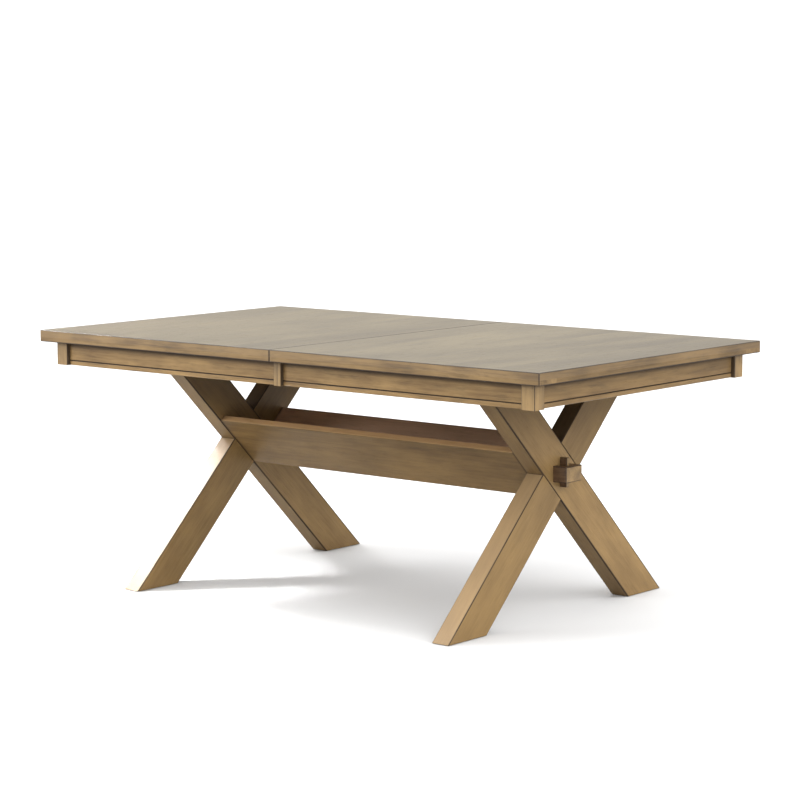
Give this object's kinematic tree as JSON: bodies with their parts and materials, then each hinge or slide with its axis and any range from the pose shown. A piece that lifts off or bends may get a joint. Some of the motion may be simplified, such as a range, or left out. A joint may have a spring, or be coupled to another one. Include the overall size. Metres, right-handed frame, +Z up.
{
  "type": "extending dining table",
  "caption": "Rectangular dining table on crossed trestle frames joined by a wedged trough stretcher, whose top parts in the middle on geared slides to take a leaf.",
  "frame": {"origin": "on the floor, under the middle of the closed table", "axes": "+X along the table's length towards the end nearer the camera, -Y towards the long side that faces the camera, +Z up"},
  "size_m": [1.829, 1.067, 0.75],
  "materials": {
    "top_wood": "grey-brown stained veneer, grain across, satin",
    "long_edge_wood": "brown stain, grain along the edge, satin",
    "end_edge_wood": "brown stain, grain along the edge, satin",
    "long_apron_wood": "brown stain with dark glaze, satin",
    "end_apron_wood": "brown stain with dark glaze, satin",
    "post_wood": "brown stain, upright grain, satin",
    "front_leg_wood": "brown stain, grain along the beam, satin",
    "back_leg_wood": "brown stain, grain along the beam, satin",
    "trough_wood": "brown stain, grain along the board, satin",
    "wedge_wood": "brown stain, upright grain, satin",
    "slide_wood": "plain waxed hardwood",
    "cross_wood": "plain sealed hardwood",
    "brace_wood": "plain sealed hardwood",
    "gear_steel": "zinc plated",
    "lock_steel": "zinc plated",
    "bolt_steel": "zinc plated",
    "pin_brass": "plain",
    "glide_plastic": "matt"
  },
  "bodies": {
    "trestle": {"left_leg_front_foot": "front_leg_wood", "left_leg_back_foot": "back_leg_wood", "right_leg_front_foot": "front_leg_wood", "right_leg_back_foot": "back_leg_wood", "cap_rail_left": "cross_wood", "cap_rail_right": "cross_wood", "cap_bolts": "bolt_steel", "foot_glides": "glide_plastic", "trough_board_front": "trough_wood", "trough_board_back": "trough_wood", "stretcher_rail": "trough_wood", "tusk_wedge_left": "wedge_wood", "tusk_wedge_right": "wedge_wood", "fixed_runner_front": "slide_wood", "fixed_runner_back": "slide_wood", "runner_ties": "cross_wood", "gear_axles": "gear_steel"},
    "left_half": {"top_panel_left": "top_wood", "front_build_up_left": "long_edge_wood", "back_build_up_left": "long_edge_wood", "end_build_up_left": "end_edge_wood", "front_apron_left": "long_apron_wood", "back_apron_left": "long_apron_wood", "end_apron_left": "end_apron_wood", "front_corner_post_left": "post_wood", "back_corner_post_left": "post_wood", "seam_posts_left": "post_wood", "stop_blocks_left": "slide_wood", "front_sliding_rail_left": "slide_wood", "back_sliding_rail_left": "slide_wood", "cross_battens_left": "cross_wood", "corner_braces_left": "brace_wood", "racks_left": "gear_steel", "lock_plates_left": "lock_steel", "seam_pins_left": "pin_brass"},
    "right_half": {"top_panel_right": "top_wood", "front_build_up_right": "long_edge_wood", "back_build_up_right": "long_edge_wood", "end_build_up_right": "end_edge_wood", "front_apron_right": "long_apron_wood", "back_apron_right": "long_apron_wood", "end_apron_right": "end_apron_wood", "front_corner_post_right": "post_wood", "back_corner_post_right": "post_wood", "seam_posts_right": "post_wood", "stop_blocks_right": "slide_wood", "front_sliding_rail_right": "slide_wood", "back_sliding_rail_right": "slide_wood", "cross_battens_right": "cross_wood", "corner_braces_right": "brace_wood", "racks_right": "gear_steel", "lock_strikes_right": "lock_steel"},
    "pinion_front": {"pinion_front": "gear_steel"},
    "pinion_back": {"pinion_back": "gear_steel"},
    "lock_lever_front": {"lock_lever_front": "lock_steel"},
    "lock_lever_back": {"lock_lever_back": "lock_steel"}
  },
  "joints": [
    {"name": "right_half_slide", "type": "slide", "parent": "trestle", "child": "right_half", "axis": [1, 0, 0], "range_m": [0, 0.254]},
    {"name": "left_half_slide", "type": "slide", "parent": "trestle", "child": "left_half", "axis": [-1, 0, 0], "range_m": [0, 0.254]},
    {"name": "pinion_front_spin", "type": "hinge", "parent": "trestle", "child": "pinion_front", "pos_m": [0, -0.27, 0.685], "axis": [0, 0, 1], "range_deg": [-730, 0]},
    {"name": "pinion_back_spin", "type": "hinge", "parent": "trestle", "child": "pinion_back", "pos_m": [0, 0.27, 0.685], "axis": [0, 0, 1], "range_deg": [0, 730]},
    {"name": "lock_lever_front_turn", "type": "hinge", "parent": "left_half", "child": "lock_lever_front", "pos_m": [-0.03, -0.442, 0.71], "axis": [0, 0, -1], "range_deg": [0, 90]},
    {"name": "lock_lever_back_turn", "type": "hinge", "parent": "left_half", "child": "lock_lever_back", "pos_m": [-0.03, 0.442, 0.71], "axis": [0, 0, 1], "range_deg": [0, 90]}
  ],
  "couplings": [
    {"joint": "left_half_slide", "follows": "right_half_slide", "ratio": 1},
    {"joint": "pinion_front_spin", "follows": "right_half_slide", "rad_per_m": -50},
    {"joint": "pinion_back_spin", "follows": "right_half_slide", "rad_per_m": 50}
  ]
}
